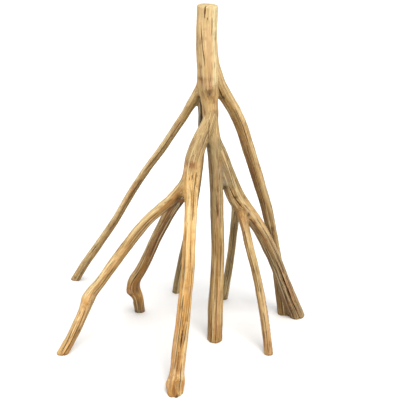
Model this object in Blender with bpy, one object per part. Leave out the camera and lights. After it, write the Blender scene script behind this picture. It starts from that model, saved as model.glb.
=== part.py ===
"""A mangrove root, dry and debarked: one piece of wood that stands on ten prop roots.

The trunk runs straight down into a middle leg. The other limbs leave it or each other, and spread to
the floor. Each limb is a tapered tube along a hand-set route. One union joins the tubes, the wood is
then filled out in the crotches and given its flutes, knuckles and hollows, the feet are sawn level
with the floor, and the main drying cracks are cut.

Run with: blender --background --python part.py
Routes and sizes are in millimetres: x to the right, y to the back, z up, from the middle of the floor.
"""

import math

import bmesh
import bpy
import numpy as np

MM = 0.001

# Driving dimensions
TRUNK_TOP = 699.0             # height of the sawn top
TOP_ROUNDING = 3.0            # how far the top's edge is worn round
OVERRUN = 30.0                # how far a limb runs on past its foot or top before it is sawn
CROTCH_SOFTNESS = 3.2         # how far the wood fills a crotch; larger is rounder
RELIEF = 0.06                 # depth of the flutes along the limbs, as a share of the radius
RING_SIDES_RESOLUTION = 4     # bevel resolution of a limb, which gives 12 sides
RING_STEP = 26.0              # between rings along a limb that stands alone
RING_STEP_AT_JOINTS = 10.0    # between rings where limbs meet or the wood swells
JOINT_REACH = 7.0             # limbs closer than this are meeting
ROUTE_STEP = 4.0              # between the points that a limb's axis is read at
CRACK_LIP = 3.0               # how far a crack's cutter stands out of the wood
CRACK_STEP = 18.0             # between the stations along a crack
SETTLING_STEPS = 8
SETTLING_STRIDE = 2.0         # the furthest that a point moves in one step
SPREADING_ROUNDS = 12         # how often the points at the joints are spread out
MEETING_FULL = 0.15           # share of a second limb's pull at which points are spread in full
SLIVER = 1.5                  # points closer than this are merged before settling
LEAST_STEEPNESS = 0.04        # keeps a point in a deep crotch from being thrown far
SWELLING_SPREAD = 0.6         # share of its reach at which a swelling has fallen off by a third
SAW_SPREAD = 1200.0           # width of the slabs that saw off the top and the feet
SHARP_ANGLE = 50.0            # edges sharper than this are shaded as edges
WELD = 0.00001                # metres; joins the seam between a tube and its caps
COLOUR = (0.66, 0.47, 0.25, 1.0)

# Each limb's route: x, y, z and thickness at hand-chosen places, from its root to the floor
LIMBS = {
    "trunk": [
        (50, -42, TRUNK_TOP, 40), (49, -42, 646, 41), (50.5, -41, 597, 42),
        (52, -40, 556, 40), (55, -39, 524, 35), (57, -39, 497, 32), (60, -40, 469, 27),
        (63, -42, 437, 27), (66, -43, 397, 27), (69, -41, 333, 27), (71.5, -38, 268, 27),
        (73, -36, 213, 27), (72, -34, 157, 28), (70, -34, 108, 30), (68, -36, 53, 32),
        (68, -38, 0, 32),
    ],
    "far_left": [
        (45, -39, 556, 17), (35, -29, 533, 18), (22, -16, 506, 17.5), (5.5, 6, 472, 16.5),
        (-14.5, 26, 435, 16), (-39, 51, 391, 16), (-71, 79, 339, 16), (-108.5, 117, 271, 16),
        (-149, 154, 191, 16), (-191, 196, 117, 17), (-230, 234, 48, 18), (-255, 259, 0, 18.5),
    ],
    "far_right": [
        (55, -41, 606, 18), (62, -38, 583, 22), (69, -33, 559, 24), (79, -25, 534, 25),
        (92, -15, 510, 25), (105, -5, 485, 24), (121, 8, 444, 24), (139, 16, 385, 23),
        (155, 26, 330, 22.5), (172, 40, 271, 22), (186, 56, 210, 21.5), (196, 64, 159, 21.5),
        (204, 70, 109, 22), (212, 76, 55, 23), (220, 82, 0, 23.5),
    ],
    "back": [
        (47, -32, 542, 17), (42, -20, 517, 16.5), (41, -9, 492, 15.5), (41, 14, 444, 15.5),
        (39, 42, 389, 15.5), (35, 64, 339, 15.5), (29, 84, 283, 15.5), (19, 106, 215, 15.5),
        (6, 134, 145, 16), (-5, 161, 83, 16.5), (-13, 180, 30, 18), (-17, 191, 0, 18.5),
    ],
    "front": [
        (58, -46, 492, 20), (51.5, -53, 473, 25), (43.5, -57, 455.5, 28.5), (36.5, -62, 439.5, 31),
        (30.5, -67, 423.5, 33), (25, -75, 405, 35), (21.5, -89, 384, 34), (20.5, -104, 363, 29),
        (20, -118, 339, 25), (18, -133, 306, 24), (16, -150, 264, 25), (13.5, -169, 218, 26),
        (9, -188, 171, 26.5), (4, -205, 124, 28), (-2, -223, 76, 28.5), (-6.5, -238, 39, 29),
        (-10, -247, 17, 34.5), (-11, -253, 0, 31),
    ],
    "left": [
        (12, -94, 373, 18), (1, -98, 357, 21), (-14, -101, 340, 20.5), (-36, -104, 320, 19.5),
        (-59, -105, 300, 19.5), (-82, -103, 273, 20), (-109, -97, 234, 20.5),
        (-136, -92, 194, 20.5), (-161, -90, 157, 20), (-179, -90, 134, 23), (-189, -91, 113, 24),
        (-199, -93, 88, 21), (-212, -95, 59, 21), (-227, -96, 28, 21), (-243, -97, 0, 21.5),
    ],
    "left_back": [
        (10, -102, 356, 19), (-2, -95, 336, 22), (-17, -80, 309, 22.5), (-32, -58, 274, 22.5),
        (-50, -34, 230, 22), (-67, -8, 182, 22.5), (-85.5, 19, 134, 23), (-101, 40, 100, 25),
        (-105, 54, 75, 27.5), (-98, 69, 46, 23), (-95, 95, 0, 21),
    ],
    "right": [
        (58, -41, 453, 19.5), (66, -39, 430, 25), (74, -36, 411, 29), (81.5, -32, 389, 31),
        (90, -27, 364, 31), (99, -21, 336, 33), (110, -14, 307, 34.5), (125, -6, 282, 33.5),
        (142.5, 1, 258, 30), (160, 8, 229, 28.5), (178.5, 18, 189, 29), (196, 32, 145, 29),
        (217.5, 50, 84, 30), (232.5, 61, 42, 32), (248, 71, 0, 33),
    ],
    "right_front": [
        (109, -15, 307, 16), (116, -15, 290, 20), (122, -20, 270, 19.5), (128.5, -29, 245, 18.5),
        (136, -39, 212, 18), (145, -50, 180, 17.5), (153, -60, 147, 17), (159.5, -70, 114, 17),
        (166.5, -81, 74, 17), (172, -91, 36, 17), (176, -99, 0, 17.5),
    ],
    "right_back": [
        (113, -10, 309, 14), (110, 2, 285, 16.5), (109, 18, 255, 16), (107, 42, 212, 16),
        (104, 70, 156, 15.5), (100, 100, 103, 16), (95, 128, 52, 16), (90, 158, 0, 17),
    ],
}

# Swellings and hollows of the wood: place, how far they reach, and height, below zero for a hollow
SWELLINGS = {
    "trunk_knot": (56, -59, 534, 9, 2.2),
    "trunk_scar": (46, -60, 557, 8, 1.2),
    "far_right_shoulder": (74, -36, 566, 14, 1.5),
    "front_knot": (18, -88, 396, 9, 1.6),
    "front_burl": (7, -84, 376, 9, 2.6),
    "left_knuckle": (-195, -93, 122, 10, 3.6),
    "left_shoulder": (-44, -108, 330, 12, 1.6),
    "left_back_heel": (-116, 57, 66, 10, 4.6),
    "left_back_waist": (-110, 72, 42, 8, -2.2),
    "front_foot_left": (-25, -249, 17, 9, 2.8),
    "front_foot_right": (6, -247, 24, 10, 1.8),
    "front_foot_hollow_low": (-8, -264, 26, 8, -5.0),
    "front_foot_hollow_high": (-6, -256, 44, 8, -3.6),
    "right_fork": (127, -20, 276, 13, 1.8),
    "right_swirl": (172, 4, 216, 11, 1.6),
    "far_left_collar": (20, -12, 502, 11, 1.4),
    "far_right_back_knot": (155, 36, 356, 10, 2.2),
    "trunk_back_knot": (71, -23, 300, 10, 2.4),
    "front_back_knot": (16, -156, 205, 10, 2.4),
}

# Drying cracks: limb, height of the upper and lower end, the side they are on in degrees at those
# ends (0 is the front, 90 the right), width at the surface, and depth
CRACKS = {
    "trunk_top_check": ("trunk", 714, 670, -9, -9, 3.2, 24),
    "trunk_upper": ("trunk", 662, 584, -29, -14, 2.6, 7),
    "trunk_back": ("trunk", 646, 566, 168, 152, 2.6, 7),
    "trunk_leg_upper": ("trunk", 328, 280, 3, 5, 2.2, 6),
    "trunk_leg_middle": ("trunk", 254, 178, -20, -22, 2.2, 6),
    "trunk_leg_foot": ("trunk", 84, -12, -30, -30, 2.6, 7),
    "far_right_slot": ("far_right", 548, 512, -52, -46, 3.2, 8),
    "far_right_side": ("far_right", 332, 250, 52, 62, 2.2, 5),
    "far_left_upper": ("far_left", 134, 70, -20, -24, 2.0, 4.5),
    "back_side": ("back", 262, 190, 176, 168, 2.0, 4.5),
    "front_streak": ("front", 292, 214, 14, 20, 2.2, 5),
    "front_foot": ("front", 122, 34, 12, -4, 3.0, 7),
    "front_rear": ("front", 150, 70, 172, 160, 2.6, 6),
    "left_upper": ("left", 254, 206, -48, -44, 2.2, 5),
    "left_foot": ("left", 106, -12, 8, 16, 2.4, 5.5),
    "left_back_upper": ("left_back", 152, 90, -20, -22, 2.6, 6),
    "right_fork": ("right", 350, 292, -16, 6, 2.8, 8),
    "right_long": ("right", 180, -12, 10, 20, 2.8, 7),
    "right_rear": ("right", 236, 160, 170, 160, 2.4, 6),
    "graft_notch": ("right", 58, -12, -78, -80, 5.0, 9),
    "right_front": ("right_front", 150, 84, 14, 20, 1.8, 4),
}


def clear_scene():
    for thing in list(bpy.data.objects):
        bpy.data.objects.remove(thing, do_unlink=True)


def make_collection(name):
    collection = bpy.data.collections.new(name)
    bpy.context.scene.collection.children.link(collection)
    return collection


def smooth_route(points):
    """Read a smooth curve through a limb's points, every ROUTE_STEP or so."""
    knots = np.array(points, dtype=float)
    before = 2 * knots[0] - knots[1]
    after = 2 * knots[-1] - knots[-2]
    padded = np.vstack([before, knots, after])
    read = []
    for a, b, c, d in zip(padded, padded[1:], padded[2:], padded[3:]):
        pieces = max(2, round(float(np.linalg.norm(c[:3] - b[:3])) / ROUTE_STEP))
        for t in np.arange(pieces) / pieces:
            bend = (2 * a - 5 * b + 4 * c - d) * t * t + (3 * b - a - 3 * c + d) * t ** 3
            read.append(b + 0.5 * ((c - a) * t + bend))
    read.append(knots[-1])
    return np.array(read)


def run_on(route, length, at_end):
    """Lengthen a route straight on past its end or its start."""
    tip, inner = (route[-1], route[-2]) if at_end else (route[0], route[1])
    way = tip[:3] - inner[:3]
    extra = tip.copy()
    extra[:3] += way / np.linalg.norm(way) * length
    return np.vstack([route, extra]) if at_end else np.vstack([extra, route])


def nearest_on_route(route, places):
    """Distance from each place to the route's axis, the way out from it, and the thickness there."""
    starts = route[:-1, :3]
    spans = route[1:, :3] - starts
    lengths = (spans ** 2).sum(1)
    share = ((places[:, None] - starts[None]) * spans[None]).sum(2) / lengths
    share = share.clip(0, 1)
    feet = starts[None] + share[..., None] * spans[None]
    gaps = np.linalg.norm(places[:, None] - feet, axis=2)
    best = gaps.argmin(1)
    row = np.arange(len(places))
    foot = feet[row, best]
    out = places - foot
    gap = gaps[row, best]
    part = share[row, best]
    thickness = route[best, 3] * (1 - part) + route[best + 1, 3] * part
    return gap, out / np.maximum(gap, 1e-6)[:, None], thickness, foot


def flutes(number, out, foot):
    """Uneven growth of a limb: shallow flutes that wander slowly round it."""
    turn = np.arctan2(out[:, 0], -out[:, 1])
    height = foot[:, 2]
    wander = 0.9 * np.sin(height / 95 + number) + number * 1.7
    oval = np.cos(2 * (turn - 0.5 * wander))
    lobes = np.cos(3 * turn + wander + 0.6 * np.sin(height / 47 + 2 * number))
    lumps = np.sin(height / 19 + 1.9 * number) * np.cos(turn - height / 60)
    return RELIEF * (0.8 * oval + 0.7 * lobes + 0.35 * lumps)


def wood_surface(fields, places):
    """How far each place is outside the wood, and the way out."""
    depths = []
    ways = []
    for number, route in enumerate(fields):
        gap, out, thickness, foot = nearest_on_route(route, places)
        radius = thickness / 2 * (1 + flutes(number, out, foot))
        depths.append(gap - radius)
        ways.append(out)
    depths = np.array(depths)
    least = depths.min(0)
    shares = np.exp((least - depths) / CROTCH_SOFTNESS)
    total = shares.sum(0)
    outside = least - CROTCH_SOFTNESS * np.log(total)
    way = (np.array(ways) * (shares / total)[..., None]).sum(0)
    near_top = ((places[:, 2] - TRUNK_TOP) / TOP_ROUNDING + 1).clip(0, 1)
    outside += TOP_ROUNDING * (1 - np.sqrt(1 - near_top ** 2))
    for x, y, z, reach, height in SWELLINGS.values():
        away = ((places - (x, y, z)) ** 2).sum(1)
        outside -= height * np.exp(-away / (2 * (SWELLING_SPREAD * reach) ** 2))
    return outside, way, total - 1


def project(places, fields):
    """Move every place out or in until it lies on the grown surface."""
    for _ in range(SETTLING_STEPS):
        outside, way, _ = wood_surface(fields, places)
        steepness = np.maximum((way ** 2).sum(1), LEAST_STEEPNESS)
        move = (-outside / steepness)[:, None] * way
        length = np.linalg.norm(move, axis=1)
        move *= (np.minimum(length, SETTLING_STRIDE) / np.maximum(length, 1e-9))[:, None]
        places = places + move
    return places


def settle(mesh, fields):
    """Lay the joined tubes onto the grown surface, with their points spread evenly where limbs meet."""
    shaper = bmesh.new()
    shaper.from_mesh(mesh)
    bmesh.ops.remove_doubles(shaper, verts=shaper.verts, dist=SLIVER * MM)
    bmesh.ops.dissolve_degenerate(shaper, edges=shaper.edges, dist=SLIVER * MM)
    bmesh.ops.triangulate(shaper, faces=shaper.faces)
    shaper.verts.ensure_lookup_table()
    places = np.array([corner.co[:] for corner in shaper.verts]) / MM
    edges = np.array([[corner.index for corner in edge.verts] for edge in shaper.edges])
    links = np.bincount(edges.ravel(), minlength=len(places))
    places = project(places, fields)
    crowd = np.flatnonzero(wood_surface(fields, places)[2] > MEETING_FULL / 20)
    for _ in range(SPREADING_ROUNDS):
        _, way, meeting = wood_surface(fields, places[crowd])
        middle = np.zeros_like(places)
        np.add.at(middle, edges[:, 0], places[edges[:, 1]])
        np.add.at(middle, edges[:, 1], places[edges[:, 0]])
        pull = middle[crowd] / links[crowd, None] - places[crowd]
        normal = way / np.maximum(np.linalg.norm(way, axis=1), 1e-9)[:, None]
        pull -= normal * (pull * normal).sum(1)[:, None]
        ease = (meeting / MEETING_FULL).clip(0, 1) * 0.5
        places[crowd] = project(places[crowd] + pull * ease[:, None], fields)
    for corner, place in zip(shaper.verts, places * MM):
        corner.co = place
    shaper.to_mesh(mesh)
    shaper.free()


def ring_places(name, routes):
    """Choose where a limb's rings go: close together where another limb meets it."""
    route = routes[name]
    others = [other for key, other in routes.items() if key != name]
    crowded = np.zeros(len(route), dtype=bool)
    for other in others:
        gap, _, thickness, _ = nearest_on_route(other, route[:, :3])
        crowded |= gap - thickness / 2 - route[:, 3] / 2 < JOINT_REACH
    for x, y, z, reach, _ in SWELLINGS.values():
        away = np.linalg.norm(route[:, :3] - (x, y, z), axis=1)
        crowded |= away < route[:, 3] / 2 + reach
    chosen = [0]
    travelled = 0.0
    for index in range(1, len(route)):
        travelled += float(np.linalg.norm(route[index, :3] - route[index - 1, :3]))
        step = RING_STEP_AT_JOINTS if crowded[index] else RING_STEP
        if travelled >= step:
            chosen.append(index)
            travelled = 0.0
    if chosen[-1] != len(route) - 1:
        chosen.append(len(route) - 1)
    stations = route[chosen]
    if name == "trunk":
        below_rounding = stations[0] - (0, 0, TOP_ROUNDING, 0)
        stations = np.vstack([stations[:1], below_rounding, stations[1:]])
        stations = run_on(stations, OVERRUN, at_end=False)
    return run_on(stations, OVERRUN, at_end=True)


def make_limb(name, stations, collection):
    """A tapered tube with closed ends, made a mesh so that it can be joined."""
    curve = bpy.data.curves.new(name, "CURVE")
    curve.dimensions = "3D"
    curve.bevel_depth = MM
    curve.bevel_resolution = RING_SIDES_RESOLUTION
    curve.use_fill_caps = True
    spline = curve.splines.new("POLY")
    spline.points.add(len(stations) - 1)
    for point, (x, y, z, thickness) in zip(spline.points, stations):
        point.co = (x * MM, y * MM, z * MM, 1.0)
        point.radius = thickness / 2
    tube = bpy.data.objects.new(name + "_tube", curve)
    collection.objects.link(tube)
    bpy.context.view_layer.update()
    evaluated = tube.evaluated_get(bpy.context.evaluated_depsgraph_get())
    mesh = bpy.data.meshes.new_from_object(evaluated)
    shaper = bmesh.new()
    shaper.from_mesh(mesh)
    bmesh.ops.remove_doubles(shaper, verts=shaper.verts, dist=WELD)
    shaper.to_mesh(mesh)
    shaper.free()
    limb = bpy.data.objects.new(name, mesh)
    limb.matrix_world = tube.matrix_world
    collection.objects.link(limb)
    bpy.data.objects.remove(tube, do_unlink=True)
    return limb


def add_cutter(mesh, name, collection):
    cutter = bpy.data.objects.new(name, mesh)
    cutter.hide_render = True
    cutter.display_type = "WIRE"
    collection.objects.link(cutter)
    return cutter


def make_crack(name, route, crack, collection):
    """A wedge that follows one side of a limb, thin at its ends and widest between them.

    It is built by hand, because its section turns and narrows as it goes along the limb.
    """
    _, top, bottom, turn_top, turn_bottom, width, depth = crack
    heights = route[::-1, 2]
    count = max(4, round((top - bottom) / CRACK_STEP) + 1)
    stations = []
    for share in np.linspace(0, 1, count):
        height = top + (bottom - top) * share
        axis = [np.interp(height, heights, route[::-1, column]) for column in range(4)]
        below = [np.interp(height - 5, heights, route[::-1, column]) for column in range(3)]
        centre = np.array(axis[:3])
        down = np.array(below) - centre
        down /= np.linalg.norm(down)
        front = np.array((0.0, -1.0, 0.0))
        front -= down * front.dot(down)
        front /= np.linalg.norm(front)
        right = np.cross(front, down)
        turn = math.radians(turn_top + (turn_bottom - turn_top) * share)
        out = front * math.cos(turn) + right * math.sin(turn)
        across = np.cross(out, down)
        opening = math.sin(math.pi * min(max(share, 0.06), 0.94)) ** 0.6
        if share < 0.5 and top > TRUNK_TOP or share > 0.5 and bottom < 0:
            opening = 1.0
        radius = axis[3] / 2
        lip = centre + out * (radius + CRACK_LIP)
        half = across * width / 2 * opening * (1 + CRACK_LIP / depth)
        root = centre + out * (radius - depth * opening)
        stations.append((lip - half, lip + half, root))
    shaper = bmesh.new()
    rings = [[shaper.verts.new(corner * MM) for corner in station] for station in stations]
    for upper, lower in zip(rings, rings[1:]):
        for one in range(3):
            two = (one + 1) % 3
            shaper.faces.new((upper[one], upper[two], lower[two], lower[one]))
    shaper.faces.new(rings[0])
    shaper.faces.new(rings[-1])
    bmesh.ops.recalc_face_normals(shaper, faces=shaper.faces)
    mesh = bpy.data.meshes.new(name)
    shaper.to_mesh(mesh)
    shaper.free()
    add_cutter(mesh, name, collection)


def make_saw(name, low, high, collection):
    """A wide slab between two heights, which takes off the ends that run into it."""
    size = (SAW_SPREAD * MM, SAW_SPREAD * MM, (high - low) * MM)
    shaper = bmesh.new()
    bmesh.ops.create_cube(shaper, size=1.0)
    bmesh.ops.scale(shaper, vec=size, verts=shaper.verts)
    bmesh.ops.translate(shaper, vec=(0, 0, (high + low) / 2 * MM), verts=shaper.verts)
    mesh = bpy.data.meshes.new(name)
    shaper.to_mesh(mesh)
    shaper.free()
    add_cutter(mesh, name, collection)


def apply_modifiers(thing):
    bpy.context.view_layer.update()
    evaluated = thing.evaluated_get(bpy.context.evaluated_depsgraph_get())
    mesh = bpy.data.meshes.new_from_object(evaluated)
    thing.modifiers.clear()
    thing.data = mesh
    return mesh


def make_wood():
    material = bpy.data.materials.new("dry_mangrove_wood")
    material.use_nodes = True
    shader = material.node_tree.nodes["Principled BSDF"]
    shader.inputs["Base Color"].default_value = COLOUR
    shader.inputs["Roughness"].default_value = 0.7
    shader.inputs["Metallic"].default_value = 0.0
    return material


def main():
    clear_scene()
    root_collection = make_collection("mangrove_root")
    joining = make_collection("limbs_to_join")
    cutters = make_collection("cutters")

    routes = {name: smooth_route(points) for name, points in LIMBS.items()}
    fields = []
    for name, route in routes.items():
        home = root_collection if name == "trunk" else joining
        limb = make_limb(name, ring_places(name, routes), home)
        if name == "trunk":
            root = limb
        field = run_on(route, 4 * OVERRUN, at_end=True)
        if name == "trunk":
            field = run_on(field, 4 * OVERRUN, at_end=False)
        fields.append(field)

    root.name = "mangrove_root"
    join = root.modifiers.new("join_limbs", "BOOLEAN")
    join.operation = "UNION"
    join.operand_type = "COLLECTION"
    join.collection = joining
    join.solver = "EXACT"
    mesh = apply_modifiers(root)
    for limb in list(joining.objects):
        bpy.data.objects.remove(limb, do_unlink=True)
    bpy.data.collections.remove(joining)

    settle(mesh, fields)

    for name, crack in CRACKS.items():
        make_crack(name + "_crack", fields[list(LIMBS).index(crack[0])], crack, cutters)
    make_saw("floor_saw", -4 * OVERRUN, 0, cutters)
    make_saw("top_saw", TRUNK_TOP, TRUNK_TOP + 4 * OVERRUN, cutters)
    cut = root.modifiers.new("cut_cracks_and_feet", "BOOLEAN")
    cut.operation = "DIFFERENCE"
    cut.operand_type = "COLLECTION"
    cut.collection = cutters
    cut.solver = "EXACT"

    mesh.materials.clear()
    mesh.materials.append(make_wood())
    mesh.shade_smooth()
    mesh.set_sharp_from_angle(angle=math.radians(SHARP_ANGLE))


main()
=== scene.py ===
# A dry, debarked mangrove root on a pale studio floor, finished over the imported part.
# Routes and sizes are in millimetres, in the part's frame: x right, y back, z up from the floor.

import math

import bmesh
import bpy
import numpy as np
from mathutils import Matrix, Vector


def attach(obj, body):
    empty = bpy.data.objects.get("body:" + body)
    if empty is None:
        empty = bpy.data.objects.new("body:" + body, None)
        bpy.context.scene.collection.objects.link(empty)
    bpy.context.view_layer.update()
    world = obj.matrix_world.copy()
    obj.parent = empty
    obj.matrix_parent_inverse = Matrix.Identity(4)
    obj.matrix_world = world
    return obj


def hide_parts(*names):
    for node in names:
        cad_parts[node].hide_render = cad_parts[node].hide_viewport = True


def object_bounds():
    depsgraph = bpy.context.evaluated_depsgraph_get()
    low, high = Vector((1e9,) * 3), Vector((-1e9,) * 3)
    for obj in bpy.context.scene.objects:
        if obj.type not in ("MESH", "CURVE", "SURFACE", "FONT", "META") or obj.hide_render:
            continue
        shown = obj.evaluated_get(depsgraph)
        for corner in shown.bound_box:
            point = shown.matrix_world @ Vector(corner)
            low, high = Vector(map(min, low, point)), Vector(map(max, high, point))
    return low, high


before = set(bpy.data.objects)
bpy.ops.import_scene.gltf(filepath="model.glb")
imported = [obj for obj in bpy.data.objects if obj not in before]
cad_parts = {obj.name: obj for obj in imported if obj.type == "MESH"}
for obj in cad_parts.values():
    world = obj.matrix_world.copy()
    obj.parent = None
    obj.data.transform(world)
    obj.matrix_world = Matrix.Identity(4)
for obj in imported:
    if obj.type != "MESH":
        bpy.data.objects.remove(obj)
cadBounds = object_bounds()

mm = 0.001

# The root's wood. Lengths are in mm.
wood = {
    "top": 699.0,               # height of the sawn top
    "topRounding": 3.0,         # how far the top's edge is worn round
    "crotchSoftness": 3.2,      # how far the wood fills a crotch
    "flute": 0.06,              # depth of the broad flutes, as a share of the radius
    "ridge": 0.55,              # height of the narrow ridges left when the bark came off
    "swellingSpread": 0.6,      # share of its reach at which a knot has fallen off
    "overrun": 40.0,            # how far a limb runs on past its end before it is sawn
    "routeStep": 2.0,           # between the points read along a route
    "tubeSides": 24,
    "ringStep": 6.0,
    "coarseVoxel": 3.6,
    "fineVoxel": 2.4,           # spacing of the finished surface
    "coarseRounds": 6,          # rounds of moving each surface onto the grown form
    "fineRounds": 4,
    "stride": 2.0,              # the furthest that a point moves in one round
    "leastSteepness": 0.04,     # keeps a point in a deep crotch from being thrown far
    "searchRounds": 7,          # rounds of looking for the place on an axis beside a point
    "searchPull": 0.9,          # share of the way gone in each of them
    "insideBox": 0.1,           # kept clear of the part's own box at the sides
    "sharpEdge": 45.0,          # degrees past which an edge is shaded sharp
}

# Each limb's route: x, y, z and thickness, from its root to the floor
limbs = {
    "trunk": [
        (50, -42, 699, 40), (49, -42, 646, 41), (50.5, -41, 597, 42),
        (52, -40, 556, 40), (55, -39, 524, 35), (57, -39, 497, 32), (60, -40, 469, 27),
        (63, -42, 437, 27), (66, -43, 397, 27), (69, -41, 333, 27), (71.5, -38, 268, 27),
        (73, -36, 213, 27), (72, -34, 157, 28), (70, -34, 108, 30), (68, -36, 53, 32),
        (68, -38, 0, 32),
    ],
    "farLeft": [
        (45, -39, 556, 17), (35, -29, 533, 18), (22, -16, 506, 17.5), (5.5, 6, 472, 16.5),
        (-14.5, 26, 435, 16), (-39, 51, 391, 16), (-71, 79, 339, 16), (-108.5, 117, 271, 16),
        (-149, 154, 191, 16), (-191, 196, 117, 17), (-230, 234, 48, 18), (-255, 259, 0, 18.5),
    ],
    "farRight": [
        (55, -41, 606, 18), (62, -38, 583, 22), (69, -33, 559, 24), (79, -25, 534, 25),
        (92, -15, 510, 25), (105, -5, 485, 24), (121, 8, 444, 24), (139, 16, 385, 23),
        (155, 26, 330, 22.5), (172, 40, 271, 22), (186, 56, 210, 21.5), (196, 64, 159, 21.5),
        (204, 70, 109, 22), (212, 76, 55, 23), (220, 82, 0, 23.5),
    ],
    "back": [
        (47, -32, 542, 17), (42, -20, 517, 16.5), (41, -9, 492, 15.5), (41, 14, 444, 15.5),
        (39, 42, 389, 15.5), (35, 64, 339, 15.5), (29, 84, 283, 15.5), (19, 106, 215, 15.5),
        (6, 134, 145, 16), (-5, 161, 83, 16.5), (-13, 180, 30, 18), (-17, 191, 0, 18.5),
    ],
    "front": [
        (58, -46, 492, 20), (51.5, -53, 473, 25), (43.5, -57, 455.5, 28.5), (36.5, -62, 439.5, 31),
        (30.5, -67, 423.5, 33), (25, -75, 405, 35), (21.5, -89, 384, 34), (20.5, -104, 363, 29),
        (20, -118, 339, 25), (18, -133, 306, 24), (16, -150, 264, 25), (13.5, -169, 218, 26),
        (9, -188, 171, 26.5), (4, -205, 124, 28), (-2, -223, 76, 28.5), (-6.5, -238, 39, 29),
        (-10, -247, 17, 34.5), (-11, -253, 0, 31),
    ],
    "left": [
        (12, -94, 373, 18), (1, -98, 357, 21), (-14, -101, 340, 20.5), (-36, -104, 320, 19.5),
        (-59, -105, 300, 19.5), (-82, -103, 273, 20), (-109, -97, 234, 20.5),
        (-136, -92, 194, 20.5), (-161, -90, 157, 20), (-179, -90, 134, 23), (-189, -91, 113, 24),
        (-199, -93, 88, 21), (-212, -95, 59, 21), (-227, -96, 28, 21), (-243, -97, 0, 21.5),
    ],
    "leftBack": [
        (10, -102, 356, 19), (-2, -95, 336, 22), (-17, -80, 309, 22.5), (-32, -58, 274, 22.5),
        (-50, -34, 230, 22), (-67, -8, 182, 22.5), (-85.5, 19, 134, 23), (-101, 40, 100, 25),
        (-105, 54, 75, 27.5), (-98, 69, 46, 23), (-95, 95, 0, 21),
    ],
    "right": [
        (58, -41, 453, 19.5), (66, -39, 430, 25), (74, -36, 411, 29), (81.5, -32, 389, 31),
        (90, -27, 364, 31), (99, -21, 336, 33), (110, -14, 307, 34.5), (125, -6, 282, 33.5),
        (142.5, 1, 258, 30), (160, 8, 229, 28.5), (178.5, 18, 189, 29), (196, 32, 145, 29),
        (217.5, 50, 84, 30), (232.5, 61, 42, 32), (248, 71, 0, 33),
    ],
    "rightFront": [
        (109, -15, 307, 16), (116, -15, 290, 20), (122, -20, 270, 19.5), (128.5, -29, 245, 18.5),
        (136, -39, 212, 18), (145, -50, 180, 17.5), (153, -60, 147, 17), (159.5, -70, 114, 17),
        (166.5, -81, 74, 17), (172, -91, 36, 17), (176, -99, 0, 17.5),
    ],
    "rightBack": [
        (113, -10, 309, 14), (110, 2, 285, 16.5), (109, 18, 255, 16), (107, 42, 212, 16),
        (104, 70, 156, 15.5), (100, 100, 103, 16), (95, 128, 52, 16), (90, 158, 0, 17),
    ],
}

# Knots, knuckles and hollows: x, y, z, how far they reach, height (below zero for a hollow)
swellings = [
    (56, -59, 534, 9, 2.2), (46, -60, 557, 8, 1.2), (74, -36, 566, 14, 1.5), (18, -88, 396, 9, 1.6),
    (7, -84, 376, 9, 2.6), (-195, -93, 122, 10, 3.6), (-44, -108, 330, 12, 1.6),
    (-116, 57, 66, 10, 4.6), (-110, 72, 42, 8, -2.2), (-25, -249, 17, 9, 2.8),
    (6, -247, 24, 10, 1.8), (-8, -264, 26, 8, -5.0), (-6, -256, 44, 8, -3.6),
    (127, -20, 276, 13, 1.8), (172, 4, 216, 11, 1.6), (20, -12, 502, 11, 1.4),
    (155, 36, 356, 10, 2.2), (71, -23, 300, 10, 2.4), (16, -156, 205, 10, 2.4),
]

# Small knots, pits and scars of the finished surface, in the same terms
dents = [
    (54, -62, 550, 9, 1.8), (54, -62, 537, 5.5, -2.4), (47, -62, 537, 4, -0.7),
    (61, -59, 539, 4, -0.9), (39, -56, 560, 6, -2.0), (50, -62, 566, 5, 0.8),
    (36, -34, 519, 5, -3.0), (79, -31, 517, 6, -2.0), (20, -97, 404, 6, -1.8),
    (14, -90, 410, 5, 0.9), (8, -94, 393, 7, 1.4), (84, -36, 372, 5, 0.8), (84, -33, 336, 6, -2.4),
    (107, -33, 312, 5, -1.8), (136, -21, 272, 7, -1.8), (150, -10, 262, 5, 1.0),
    (172, -3, 212, 5, -1.1), (129, -23, 293, 5, 0.9), (-111, 50, 60, 5, -1.6),
    (-189, -103, 108, 4, -1.1), (-254, 246, 9, 5, -1.6), (3, -226, 110, 3, -1.0),
    (4, -223, 116, 2.6, -0.8), (232, 54, 13, 6, -2.0), (-16, -262, 34, 5, 0.9),
    (2, -262, 30, 5, 0.9), (-152, -100, 182, 5, -0.7), (1, -105, 333, 9, -3.4),
    (42, -50, 493, 9, -3.4), (40, -45, 503, 8, -1.6),
]

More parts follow.
